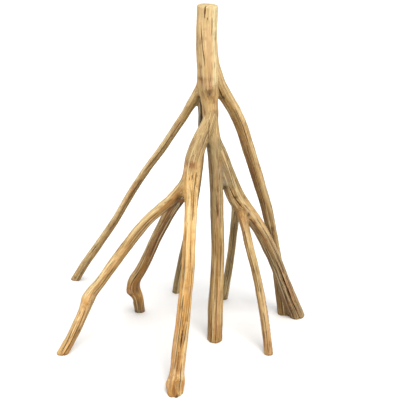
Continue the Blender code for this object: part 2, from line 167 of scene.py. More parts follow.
# Open drying cracks, cut into the wood: limb, heights of both ends, the side they are on at those
# ends in degrees (0 is the front, 90 the right), width at the surface, depth
openCracks = [
    ("trunk", 714, 678, -9, -9, 3.8, 24), ("trunk", 670, 588, -29, -14, 2.8, 7),
    ("trunk", 646, 566, 168, 152, 2.6, 7), ("front", 480, 438, -6, 76, 2.8, 5),
    ("trunk", 328, 280, 3, 5, 2.2, 6), ("trunk", 254, 178, -20, -22, 2.2, 6),
    ("trunk", 84, -12, -30, -30, 2.6, 7), ("farRight", 548, 522, -10, -30, 3.6, 8),
    ("farRight", 332, 250, 52, 62, 2.2, 5), ("farLeft", 134, 70, -20, -24, 2.0, 4.5),
    ("back", 262, 190, 176, 168, 2.0, 4.5), ("front", 292, 214, 14, 20, 2.2, 5),
    ("front", 124, 80, 8, 2, 3.0, 7), ("front", 74, -12, -8, -8, 11.0, 2.4),
    ("front", 9, -12, -52, -52, 3.0, 4), ("front", 8, -12, 34, 34, 3.0, 4),
    ("front", 150, 70, 172, 160, 2.6, 6), ("left", 254, 206, -48, -44, 2.2, 5),
    ("left", 106, -12, 8, 16, 2.4, 5.5), ("leftBack", 152, 90, -20, -22, 2.6, 6),
    ("right", 350, 292, -16, 6, 2.8, 8), ("right", 180, -12, 10, 20, 2.8, 7),
    ("right", 236, 160, 170, 160, 2.4, 6), ("right", 58, -12, -78, -80, 5.0, 9),
    ("rightFront", 150, 84, 14, 20, 1.8, 4),
]


def smoothRoute(points):
    # Reads a smooth curve that goes through all of a limb's points.
    knots = np.array(points, dtype=float)
    padded = np.vstack([2 * knots[0] - knots[1], knots, 2 * knots[-1] - knots[-2]])
    read = []
    for a, b, c, d in zip(padded, padded[1:], padded[2:], padded[3:]):
        pieces = max(2, round(float(np.linalg.norm(c[:3] - b[:3])) / wood["routeStep"]))
        for t in np.arange(pieces) / pieces:
            bend = (2 * a - 5 * b + 4 * c - d) * t * t + (3 * b - a - 3 * c + d) * t ** 3
            read.append(b + 0.5 * ((c - a) * t + bend))
    read.append(knots[-1])
    return np.array(read)


def runOn(route, length, atEnd):
    # Lengthens a route straight on past its end or its start.
    tip, inner = (route[-1], route[-2]) if atEnd else (route[0], route[1])
    way = tip[:3] - inner[:3]
    way = way / np.linalg.norm(way)
    steps = np.arange(wood["routeStep"], length, wood["routeStep"])
    extra = np.repeat(tip[None], len(steps), 0)
    extra[:, :3] += way * steps[:, None]
    return np.vstack([route, extra]) if atEnd else np.vstack([extra[::-1], route])


shortOfEnd = 1.001  # keeps a mark along a limb just short of its last row


class Limb:
    # A limb's axis, read at even steps, with a way to find what lies beside any place.

    def __init__(self, number, name):
        self.number = number
        self.name = name
        self.seen = smoothRoute(limbs[name])
        route = runOn(self.seen, 3 * wood["overrun"], True)
        if name == "trunk":
            route = runOn(route, 3 * wood["overrun"], False)
        spans = np.linalg.norm(np.diff(route[:, :3], axis=0), axis=1)
        along = np.concatenate([[0], np.cumsum(spans)])
        marks = np.arange(0, along[-1], 1.0)  # a row of the route for each millimetre
        self.route = np.stack([np.interp(marks, along, route[:, k]) for k in range(4)], 1)
        tangent = np.gradient(self.route[:, :3], axis=0)
        self.tangent = tangent / np.linalg.norm(tangent, axis=1)[:, None]

    def read(self, table, marks):
        # A table's values at places between its rows.
        marks = marks.clip(0, len(table) - shortOfEnd)
        low = marks.astype(int)
        share = (marks - low)[:, None]
        return table[low] * (1 - share) + table[low + 1] * share

    def beside(self, places):
        # Distance to the axis, the way out, the thickness, the axis point and the length along.
        marks = np.interp(-places[:, 2], -self.route[:, 2], np.arange(len(self.route)))
        for _ in range(wood["searchRounds"]):
            here = self.read(self.route, marks)
            slope = self.read(self.tangent, marks)
            marks = marks + ((places - here[:, :3]) * slope).sum(1) * wood["searchPull"]
            marks = marks.clip(0, len(self.route) - shortOfEnd)
        here = self.read(self.route, marks)
        out = places - here[:, :3]
        gap = np.linalg.norm(out, axis=1)
        return gap, out / np.maximum(gap, 1e-6)[:, None], here[:, 3], here[:, :3], marks

    def turnOf(self, out, marks):
        # The side of the limb in radians: 0 faces the front, a quarter turn faces right.
        down = self.read(self.tangent, marks)
        front = np.array((0.0, -1.0, 0.0)) - down * -down[:, 1:2]
        front /= np.linalg.norm(front, axis=1)[:, None]
        right = np.cross(front, down)
        return np.arctan2((out * right).sum(1), (out * front).sum(1))


grown = [Limb(number, name) for number, name in enumerate(limbs)]
byName = {limb.name: limb for limb in grown}


# In these two, a height is divided by the length in mm of a wave along the limb, and the turn is
# multiplied by how many waves go round it.
def flutes(number, out, foot):
    # Uneven growth of a limb: shallow flutes that wander slowly round it.
    turn = np.arctan2(out[:, 0], -out[:, 1])
    height = foot[:, 2]
    wander = 0.9 * np.sin(height / 95 + number) + number * 1.7
    oval = np.cos(2 * (turn - 0.5 * wander))
    lobes = np.cos(3 * turn + wander + 0.6 * np.sin(height / 47 + 2 * number))
    lumps = np.sin(height / 19 + 1.9 * number) * np.cos(turn - height / 60)
    return wood["flute"] * (0.8 * oval + 0.7 * lobes + 0.35 * lumps)


def ridges(number, out, foot):
    # Narrow ridges and shallow furrows that follow the fibres, in mm.
    turn = np.arctan2(out[:, 0], -out[:, 1])
    height = foot[:, 2]
    drift = 0.5 * np.sin(height / 71 + 2.3 * number) + 0.25 * np.sin(height / 29 + number)
    come = 0.55 + 0.45 * np.sin(height / 41 + 3 * turn + number)
    fine = np.sin(11 * turn + 6 * drift + number) * come
    broad = np.sin(7 * turn - 5 * drift + 2 * number + 0.7 * np.sin(height / 17))
    dimples = np.sin(height / 7.3 + 2.7 * np.sin(2 * turn + number))
    dimples = dimples * np.sin(height / 23 + turn * 2)
    return wood["ridge"] * (0.6 * fine + 0.6 * broad + 0.35 * dimples)


def woodSurface(places, fine):
    # How far each place is outside the wood, and the way out.
    depths = []
    ways = []
    for limb in grown:
        gap, out, thickness, foot, _ = limb.beside(places)
        depth = gap - thickness / 2 * (1 + flutes(limb.number, out, foot))
        if fine:
            depth = depth - ridges(limb.number, out, foot)
        depths.append(depth)
        ways.append(out)
    depths = np.array(depths)
    least = depths.min(0)
    shares = np.exp((least - depths) / wood["crotchSoftness"])
    total = shares.sum(0)
    outside = least - wood["crotchSoftness"] * np.log(total)
    way = (np.array(ways) * (shares / total)[..., None]).sum(0)
    nearTop = ((places[:, 2] - wood["top"]) / wood["topRounding"] + 1).clip(0, 1)
    outside += wood["topRounding"] * (1 - np.sqrt(1 - nearTop ** 2))
    for x, y, z, reach, height in (swellings + dents if fine else swellings):
        away = ((places - (x, y, z)) ** 2).sum(1)
        outside -= height * np.exp(-away / (2 * (wood["swellingSpread"] * reach) ** 2))
    return outside, way


def project(places, fine, rounds):
    # Moves every place until it lies on the grown surface.
    for _ in range(rounds):
        outside, way = woodSurface(places, fine)
        steep = np.maximum((way ** 2).sum(1), wood["leastSteepness"])
        move = (-outside / steep)[:, None] * way
        length = np.linalg.norm(move, axis=1)
        move *= (np.minimum(length, wood["stride"]) / np.maximum(length, 1e-9))[:, None]
        places = places + move
    return places


def linear(code):
    # An sRGB hex colour as linear values.
    parts = [int(code[k:k + 2], 16) / 255 for k in (1, 3, 5)]
    return np.array([
        part / 12.92 if part <= 0.04045 else ((part + 0.055) / 1.055) ** 2.4 for part in parts])


def addNode(tree, kind, settings=None, inputs=None):
    # An input is a plain value, another node or one of its outputs.
    made = tree.nodes.new(kind)
    for key, value in (settings or {}).items():
        setattr(made, key, value)
    for key, value in (inputs or {}).items():
        if isinstance(value, bpy.types.Node):
            value = value.outputs[0]
        if isinstance(value, bpy.types.NodeSocket):
            tree.links.new(value, made.inputs[key])
        else:
            made.inputs[key].default_value = value
    return made


grainLook = {
    "contrast": 0.46,           # between the pale early wood and the darker late wood
    "levelRange": (0.38, 0.62),  # of the mixed patterns, from late wood to early wood
    "fibreRange": (0.35, 0.65),  # of the fibre pattern, from a furrow to a fibre
    "paleShare": 0.45,          # how much less it gets paler than it gets darker
    "greenFade": 1.12,          # above 1, dark wood turns warmer
    "blueFade": 1.4,
    "crackHalf": 0.75,          # share of a fine crack's width that is dark on either side
    "bump": 0.0014,             # metres from the top of a fibre to its furrow
    "roughness": (0.78, 0.6),   # in the furrows and on the fibres
    "specular": 0.35,
}

# Patterns of the surface: whether it follows the fibres, size across in mm, how many times longer
# it is along the fibres, shift, detail, roughness. Real fibres are under 0.1 mm across, which is too
# fine to show, so they are drawn as coarse as they need to be.
patterns = {
    "fibre": (True, 0.8696, 22.22, 0, 3.0, 0.65),
    "streak": (True, 2.941, 35.71, 40, 2.0, 0.5),
    "broad": (True, 5.882, 50, 130, 2.0, 0.6),
    "check": (True, 3.333, 50, 90, 1.0, 0.4),
    "pit": (True, 1.3333, 2.8571, 20, 1.0, 0.5),
    "patch": (False, 26.32, 1, 0, 3.0, 0.55),
    "warmth": (False, 66.67, 1, 0, 2.0, 0.5),
    "checkArea": (False, 33.33, 1, 0, 1.0, 0.5),
    "lump": (False, 11.11, 1, 0, 2.0, 0.5),
}


# Mangrove wood, stripped of its bark, brushed and dried for years. It is matt and pale, furrowed
# along the fibres, browner in the furrows, with painted shade underneath and in its cracks, and
# split by thin drying checks.
def mangroveWood():
    material = bpy.data.materials.new("dry_mangrove_wood")
    material.use_nodes = True
    tree = material.node_tree
    shader = tree.nodes["Principled BSDF"]
    given = {}
    for name in ("woodColourAndShading", "grainPlace", "crackSide", "crackWidth", "inner", "wear"):
        given[name] = addNode(tree, "ShaderNodeAttribute", {"attribute_name": name}).outputs
    body = addNode(tree, "ShaderNodeTexCoord").outputs["Object"]

    noises = {}
    for name, (alongFibres, size, longer, shift, detail, rough) in patterns.items():
        place = given["grainPlace"]["Vector"] if alongFibres else body
        scale = 1 / size if alongFibres else 1 / (size * mm)
        placed = addNode(tree, "ShaderNodeMapping", None, {
            "Vector": place, "Location": (shift,) * 3, "Scale": (1, 1, 1 / longer)})
        noises[name] = addNode(tree, "ShaderNodeTexNoise", None, {
            "Vector": placed, "Scale": scale, "Detail": detail, "Roughness": rough})

    # distance to the edge of a fine crack, and to the middle of the pattern that draws hair checks
    half = addNode(tree, "ShaderNodeMath", {"operation": "MULTIPLY"}, {
        0: given["crackWidth"]["Fac"], 1: grainLook["crackHalf"]})
    away = addNode(tree, "ShaderNodeMath", {"operation": "ABSOLUTE"}, {
        0: given["crackSide"]["Fac"]})
    crackEdge = addNode(tree, "ShaderNodeMath", {"operation": "SUBTRACT"}, {0: away, 1: half})
    middle = addNode(tree, "ShaderNodeMath", {"operation": "SUBTRACT"}, {
        0: noises["check"], 1: 0.5})
    checkMiddle = addNode(tree, "ShaderNodeMath", {"operation": "ABSOLUTE"}, {0: middle})

    # what shows where, from 0 to 1: source, low, high, value at low, value at high
    masks = {"inner": given["inner"]["Fac"], "everywhere": 1.0}
    for name, source, low, high, first, last in (
        ("hair", checkMiddle, 0.004, 0.016, 1, 0),
        ("hairArea", noises["checkArea"], 0.44, 0.56, 0, 1),
        ("line", crackEdge, -0.25, 0.35, 1, 0),
        ("lineArea", given["crackWidth"]["Fac"], 0.05, 0.5, 0, 1),
        ("stripe", noises["streak"], 0.54, 0.68, 0, 1),
        ("pit", noises["pit"], 0.70, 0.78, 0, 1),
    ):
        masks[name] = addNode(tree, "ShaderNodeMapRange", {"interpolation_type": "SMOOTHSTEP"}, {
            "Value": source, "From Min": low, "From Max": high, "To Min": first, "To Max": last})
    for name, other in (("hair", masks["hairArea"]), ("line", masks["lineArea"]),
                        ("stripe", given["wear"]["Fac"])):
        masks[name] = addNode(tree, "ShaderNodeMath", {"operation": "MULTIPLY"}, {
            0: masks[name], 1: other})
    shown = {**noises, **masks}  # where a name is in both, the mask is meant

    # early and late wood: one grey level, which turns warmer where it is dark
    level = 0.0
    for name, share in (("fibre", 0.35), ("streak", 0.4), ("broad", 0.25)):
        level = addNode(tree, "ShaderNodeMath", {"operation": "MULTIPLY_ADD"}, {
            0: noises[name], 1: share, 2: level})
    low, high = grainLook["levelRange"]
    contrast = grainLook["contrast"]
    level = addNode(tree, "ShaderNodeMapRange", {"interpolation_type": "SMOOTHSTEP"}, {
        "Value": level, "From Min": low, "From Max": high, "To Min": -contrast,
        "To Max": grainLook["paleShare"] * contrast})
    level = addNode(tree, "ShaderNodeMath", {"operation": "MULTIPLY_ADD"}, {
        0: level, 1: given["wear"]["Fac"], 2: 1.0})
    green = addNode(tree, "ShaderNodeMath", {"operation": "POWER"}, {
        0: level, 1: grainLook["greenFade"]})
    blue = addNode(tree, "ShaderNodeMath", {"operation": "POWER"}, {
        0: level, 1: grainLook["blueFade"]})
    shade = addNode(tree, "ShaderNodeCombineColor", None, {
        "Red": level, "Green": green, "Blue": blue})

    # layers of colour: what shows it, low, high, strength at high, tone, how it is mixed in; a mask
    # goes from 0 to 1 and has its soft edges already
    colour = given["woodColourAndShading"]["Color"]
    for name, low, high, strength, tone, kind in (
        ("warmth", 0.45, 0.7, 0.35, "#f0c898", "MULTIPLY"),
        ("patch", 0.52, 0.72, 0.28, "#a79468", "MIX"),
        ("everywhere", 0, 1, 1.0, shade, "MULTIPLY"),
        ("stripe", 0, 1, 0.5, "#a07440", "MULTIPLY"),
        ("lump", 0.54, 0.7, 0.25, "#b08a50", "MULTIPLY"),
        ("broad", 0.54, 0.66, 0.4, "#b08650", "MULTIPLY"),
        ("broad", 0.46, 0.34, 0.35, "#ffe9b4", "MIX"),
        ("hair", 0, 1, 0.8, "#5b3d1c", "MIX"),
        ("pit", 0, 1, 0.55, "#5f4220", "MIX"),
        ("line", 0, 1, 0.8, "#4d3418", "MIX"),
        # painted shade inside the open cracks and hollows, deeper being darker
        ("inner", 0.12, 0.32, 0.8, "#8a5a28", "MIX"),
        ("inner", 0.4, 0.85, 0.9, "#2c1d0d", "MIX"),
    ):
        easing = "LINEAR" if (low, high) == (0, 1) else "SMOOTHSTEP"
        weight = addNode(tree, "ShaderNodeMapRange", {"interpolation_type": easing}, {
            "Value": shown[name], "From Min": low, "From Max": high, "To Max": strength})
        mixed = addNode(tree, "ShaderNodeMix", {"data_type": "RGBA", "blend_type": kind}, {
            0: weight, 6: colour, 7: (*linear(tone), 1.0) if isinstance(tone, str) else tone})
        colour = mixed.outputs[2]
    tree.links.new(colour, shader.inputs["Base Color"])

    # relief: shares of the bump's height, below zero for what is sunk
    relief = 0.0
    for name, share in (("fibre", 0.55), ("streak", 0.35), ("lump", -0.2), ("hair", -0.5),
                        ("line", -0.9), ("pit", -0.3)):
        relief = addNode(tree, "ShaderNodeMath", {"operation": "MULTIPLY_ADD"}, {
            0: shown[name], 1: share, 2: relief})
    bump = addNode(tree, "ShaderNodeBump", None, {"Height": relief, "Distance": grainLook["bump"]})
    tree.links.new(bump.outputs[0], shader.inputs["Normal"])
    low, high = grainLook["fibreRange"]
    furrow, crest = grainLook["roughness"]
    rough = addNode(tree, "ShaderNodeMapRange", {"interpolation_type": "SMOOTHSTEP"}, {
        "Value": noises["fibre"], "From Min": low, "From Max": high,
        "To Min": furrow, "To Max": crest})
    tree.links.new(rough.outputs[0], shader.inputs["Roughness"])
    shader.inputs["Specular IOR Level"].default_value = grainLook["specular"]
    return material


def limbTree(material):
    # A round tube of the limb's own thickness along each route.
    tree = bpy.data.node_groups.new("limbTubes", "GeometryNodeTree")
    tree.interface.new_socket("Routes", in_out="INPUT", socket_type="NodeSocketGeometry")
    sides = tree.interface.new_socket("Tube Sides", in_out="INPUT", socket_type="NodeSocketInt")
    step = tree.interface.new_socket("Ring Step", in_out="INPUT", socket_type="NodeSocketFloat")
    tree.interface.new_socket("Limbs", in_out="OUTPUT", socket_type="NodeSocketGeometry")
    given = addNode(tree, "NodeGroupInput").outputs
    curve = addNode(tree, "GeometryNodeResampleCurve", {"mode": "LENGTH"}, {
        "Curve": given["Routes"], "Length": given["Ring Step"]})
    ring = addNode(tree, "GeometryNodeCurvePrimitiveCircle", None, {
        "Resolution": given["Tube Sides"], "Radius": 1.0})
    thickness = addNode(tree, "GeometryNodeInputRadius")
    tube = addNode(tree, "GeometryNodeCurveToMesh", None, {
        "Curve": curve, "Profile Curve": ring, "Scale": thickness, "Fill Caps": True})
    real = addNode(tree, "GeometryNodeRealizeInstances", None, {"Geometry": tube})
    dressed = addNode(tree, "GeometryNodeSetMaterial", None, {
        "Geometry": real, "Material": material})
    addNode(tree, "NodeGroupOutput", None, {0: dressed})
    return tree, sides.identifier, step.identifier


def evaluatedMesh(thing):
    bpy.context.view_layer.update()
    evaluated = thing.evaluated_get(bpy.context.evaluated_depsgraph_get())
    return bpy.data.meshes.new_from_object(evaluated)


def meshPlaces(mesh):
    flat = np.empty(len(mesh.vertices) * 3)
    mesh.vertices.foreach_get("co", flat)
    return flat.reshape(-1, 3) / mm


def setPlaces(mesh, places):
    mesh.vertices.foreach_set("co", (places * mm).ravel())
    mesh.update()


def remesh(mesh, voxel):
    # Evens out a surface, which also joins whatever overlaps in it.
    thing = bpy.data.objects.new("evening", mesh)
    bpy.context.scene.collection.objects.link(thing)
    change = thing.modifiers.new("even", "REMESH")
    change.mode = "VOXEL"
    change.voxel_size = voxel * mm
    change.adaptivity = 0
    made = evaluatedMesh(thing)
    bpy.data.objects.remove(thing, do_unlink=True)
    return made


print("stage: limbs")
routes = bpy.data.curves.new("routes", "CURVE")
routes.dimensions = "3D"
for limb in grown:
    line = runOn(limb.seen, wood["overrun"], True)
    if limb.name == "trunk":
        line = runOn(line, wood["overrun"], False)
    spline = routes.splines.new("POLY")
    spline.points.add(len(line) - 1)
    for point, (x, y, z, thickness) in zip(spline.points, line):
        point.co = (x * mm, y * mm, z * mm, 1)
        point.radius = thickness / 2 * mm
routeObject = bpy.data.objects.new("routes", routes)
bpy.context.scene.collection.objects.link(routeObject)
woodMaterial = mangroveWood()
tree, sidesInput, stepInput = limbTree(woodMaterial)
tubes = routeObject.modifiers.new("tubes", "NODES")
tubes.node_group = tree
tubes[sidesInput] = wood["tubeSides"]
tubes[stepInput] = wood["ringStep"] * mm
tubeMesh = evaluatedMesh(routeObject)
bpy.data.objects.remove(routeObject, do_unlink=True)
coarse = remesh(tubeMesh, wood["coarseVoxel"])
setPlaces(coarse, project(meshPlaces(coarse), False, wood["coarseRounds"]))
surface = remesh(coarse, wood["fineVoxel"])
setPlaces(surface, project(meshPlaces(surface), True, wood["fineRounds"]))


cutters = {
    "wedgeStep": 7.0,           # between the rings of a crack's wedge
    "wedgeLip": 3.0,            # how far a wedge stands out of the wood
    "endOpen": 0.04,            # a crack's end is as open as this share of its length further in
    "endTaper": 0.6,            # below 1, a crack opens quickly from its ends
    "sawReach": 300.0,          # how far the saw's slabs go past the wood
    "sawWidth": 1200.0,
}


def wedges():
    # One closed wedge for each open crack, thin at its ends, with edges that wander a little.
    lip = cutters["wedgeLip"]
    shaper = bmesh.new()
    for number, crack in enumerate(openCracks):
        limbName, top, bottom, turnTop, turnBottom, width, depth = crack
        limb = byName[limbName]
        count = max(5, round((top - bottom) / cutters["wedgeStep"]) + 1)
        rings = []
        for share in np.linspace(0, 1, count):
            height = top + (bottom - top) * share
            mark = np.array([np.interp(-height, -limb.route[:, 2], np.arange(len(limb.route)))])
            axis = limb.read(limb.route, mark)[0]
            down = limb.read(limb.tangent, mark)[0]
            front = np.array((0.0, -1.0, 0.0))
            front -= down * front.dot(down)
            front /= np.linalg.norm(front)
            right = np.cross(front, down)
            # its course strays by a degree or two, in a long wave and a short one
            wander = 1.3 * math.sin(height / 23 + number) + 0.6 * math.sin(height / 8 + 2 * number)
            turn = math.radians(turnTop + (turnBottom - turnTop) * share + wander)
            out = front * math.cos(turn) + right * math.sin(turn)
            across = np.cross(out, down)
            within = min(max(share, cutters["endOpen"]), 1 - cutters["endOpen"])
            opening = math.sin(math.pi * within) ** cutters["endTaper"]
            if share < 0.5 and top > wood["top"] or share > 0.5 and bottom < 0:
                opening = 1.0  # it runs out through a sawn face
            opening *= 0.85 + 0.15 * math.sin(height / 6 + number)  # its edges come and go
            radius = axis[3] / 2
            edge = axis[:3] + out * (radius + lip)
            half = across * width / 2 * opening * (1 + lip / depth)
            root = axis[:3] + out * (radius - depth * opening)
            corners = (edge - half, edge + half, root)
            rings.append([shaper.verts.new(corner * mm) for corner in corners])
        for upper, lower in zip(rings, rings[1:]):
            for one in range(3):
                two = (one + 1) % 3
                shaper.faces.new((upper[one], upper[two], lower[two], lower[one]))
        shaper.faces.new(rings[0])
        shaper.faces.new(rings[-1])
    bmesh.ops.recalc_face_normals(shaper, faces=shaper.faces)
    mesh = bpy.data.meshes.new("openCracks")
    shaper.to_mesh(mesh)
    shaper.free()
    return mesh


def saws():
    # Two slabs, which take off what runs past the floor and the top.
    reach = cutters["sawReach"]
    width = cutters["sawWidth"] * mm
    shaper = bmesh.new()
    for low, high in ((-reach, 0.0), (wood["top"], wood["top"] + reach)):
        made = bmesh.ops.create_cube(shaper, size=1.0)["verts"]
        bmesh.ops.scale(shaper, vec=(width, width, (high - low) * mm), verts=made)
        bmesh.ops.translate(shaper, vec=(0, 0, (high + low) / 2 * mm), verts=made)
    mesh = bpy.data.meshes.new("saws")
    shaper.to_mesh(mesh)
    shaper.free()
    return mesh


def cutAway(mesh, cutterMesh):
    # What is left of a mesh once another has been taken out of it.
    thing = bpy.data.objects.new("cutting", mesh)
    cutter = bpy.data.objects.new("cutter", cutterMesh)
    for made in (thing, cutter):
        bpy.context.scene.collection.objects.link(made)
    change = thing.modifiers.new("cut", "BOOLEAN")
    change.operation = "DIFFERENCE"
    change.solver = "MANIFOLD"
    change.object = cutter
    made = evaluatedMesh(thing)
    for gone in (thing, cutter):
        bpy.data.objects.remove(gone, do_unlink=True)
    return made


print("stage: cracks and sawn ends")
places = meshPlaces(surface)
low, high = (np.array(corner) / mm for corner in cadBounds)
places[:, :2] = places[:, :2].clip(low[:2] + wood["insideBox"], high[:2] - wood["insideBox"])
setPlaces(surface, places)
surface = cutAway(surface, wedges())
surface = cutAway(surface, saws())
print("surface faces:", len(surface.polygons))

palette = {
    "pale": "#ffedba", "cream": "#f6e0ab", "blond": "#e6c58c", "honey": "#e0a85c",
    "ochre": "#b87c38", "brown": "#80592b", "dark": "#3d2a14", "olive": "#857148",
    "grey": "#a89b80", "pink": "#dcae85", "scar": "#86502a",
}

# The colour of each limb's dry wood down its length: height and colour
limbColoursWithShade = {
    "trunk": [(699, "#e4c28a"), (560, "#d6b27a"), (500, "#d0ae76"), (420, "#b09a6e"),
              (330, "#ae9566"), (200, "#ba9456"), (60, "#c49e60"), (0, "#bb9356")],
    "farLeft": [(550, "#e6c896"), (300, "#dfbf8c"), (100, "#e2c290"), (0, "#d0ae78")],
    "farRight": [(600, "#d6b278"), (480, "#d6b27c"), (330, "#b59561"), (100, "#ad8f5c"),
                 (0, "#a08353")],
    # the back limb's colour is partly its own brown and partly painted shade, darkest near its top
    "back": [(540, "#7c6540"), (470, "#7c6540"), (330, "#8f7750"), (0, "#a08a60")],
    "front": [(490, "#c6a873"), (440, "#b2976a"), (405, "#b38e58"), (375, "#d9ab64"),
              (300, "#f0c47c"), (200, "#d9a75b"), (90, "#e0ac5e"), (0, "#d6a257")],
    "left": [(370, "#a0753a"), (300, "#b38543"), (200, "#e9c286"), (100, "#efc688"),
             (0, "#e6b878")],
    "leftBack": [(350, "#8f6a34"), (250, "#b3863e"), (110, "#c08f42"), (60, "#d3a052"),
                 (0, "#a07e44")],
    "right": [(450, "#a8946a"), (380, "#a08e62"), (320, "#c4a26a"), (260, "#c39c64"),
              (180, "#ae9062"), (90, "#a98c62"), (0, "#ae9064")],
    "rightFront": [(300, "#c29a62"), (180, "#c6a56e"), (0, "#bd9866")],
    "rightBack": [(300, "#aa946a"), (0, "#bca678")],
}

# Streaks of other colour along the limbs, three of them painted highlight and painted shade as
# marked: limb, heights, sides in degrees, width in mm, tone, strength
streaksAndPaintedShading = [
    # the first, a pale band down the trunk's right side, is a painted highlight
    ("trunk", 720, 540, 50, 44, 17, "pale", 0.9), ("trunk", 694, 600, -66, -62, 7, "brown", 0.3),
    ("trunk", 670, 520, 8, 6, 12, "pink", 0.45), ("trunk", 698, 684, -32, -30, 6, "scar", 0.5),
    ("trunk", 420, 0, -62, -62, 12, "olive", 0.65), ("trunk", 400, 30, 46, 50, 10, "blond", 0.6),
    ("trunk", 340, 250, 8, 8, 6, "pink", 0.6), ("trunk", 250, 10, -18, -16, 4, "brown", 0.55),
    ("trunk", 200, 10, 14, 14, 6, "pink", 0.45), ("trunk", 500, 430, 30, 30, 12, "blond", 0.5),
    ("farRight", 590, 30, 50, 54, 8, "cream", 0.5),
    ("farRight", 570, 10, -34, -34, 12, "brown", 0.5),
    ("farRight", 520, 100, 8, 10, 3, "brown", 0.35),
    ("farLeft", 540, 20, -48, -48, 7, "cream", 0.5), ("farLeft", 540, 10, 48, 52, 8, "olive", 0.5),
    # the pale band on the front limb's left edge, from 488 to 440, is a painted highlight
    ("farLeft", 420, 120, 0, 0, 3, "brown", 0.3), ("front", 488, 440, -62, -56, 8, "pale", 0.9),
    ("front", 400, 20, 54, 52, 8, "cream", 0.55), ("front", 372, 190, -24, -14, 7, "cream", 0.5),
    ("front", 360, 60, 12, 6, 4, "ochre", 0.5), ("front", 300, 60, -46, -46, 4, "ochre", 0.5),
    ("front", 150, 4, -42, -44, 9, "pink", 0.7), ("front", 482, 440, -6, 76, 3, "brown", 0.8),
    ("front", 118, 30, 8, 0, 7, "scar", 0.6), ("front", 140, 20, 36, 34, 5, "cream", 0.5),
    ("left", 350, 110, -44, -46, 6, "cream", 0.7), ("left", 340, 8, 44, 48, 9, "brown", 0.4),
    ("left", 210, 120, -8, -6, 3, "ochre", 0.7), ("left", 118, 0, -28, -16, 4, "cream", 0.6),
    ("left", 112, 0, 6, 14, 4, "brown", 0.7), ("left", 160, 20, 30, 34, 5, "grey", 0.5),
    ("leftBack", 330, 95, -52, -50, 6, "cream", 0.55),
    ("leftBack", 330, 78, -12, -8, 5, "ochre", 0.6),
    ("leftBack", 320, 60, 34, 36, 12, "brown", 0.6), ("leftBack", 60, 0, -30, -30, 5, "grey", 0.5),
    ("leftBack", 60, 0, 12, 12, 4, "brown", 0.6), ("right", 430, 330, -50, -50, 12, "grey", 0.6),
    ("right", 430, 280, 30, 36, 6, "blond", 0.75), ("right", 350, 270, -30, -20, 6, "pink", 0.5),
    ("right", 330, 200, 50, 54, 7, "blond", 0.5), ("right", 300, 0, -30, -28, 12, "brown", 0.45),
    ("right", 210, 10, 0, 4, 3, "dark", 0.55), ("right", 180, 0, 44, 46, 8, "olive", 0.5),
    ("right", 150, 0, 24, 28, 4, "pink", 0.5), ("rightFront", 260, 10, 4, 6, 4, "cream", 0.6),
    ("rightFront", 280, 10, -50, -48, 7, "brown", 0.5),
    # the dark band down the front side of the back limb, from 560 to 440, is painted shade
    ("rightFront", 240, 20, 46, 46, 6, "blond", 0.5), ("back", 560, 440, 0, 0, 14, "dark", 0.85),
    ("back", 430, 60, 40, 40, 5, "blond", 0.4), ("rightBack", 280, 20, -50, -50, 5, "blond", 0.4),
]

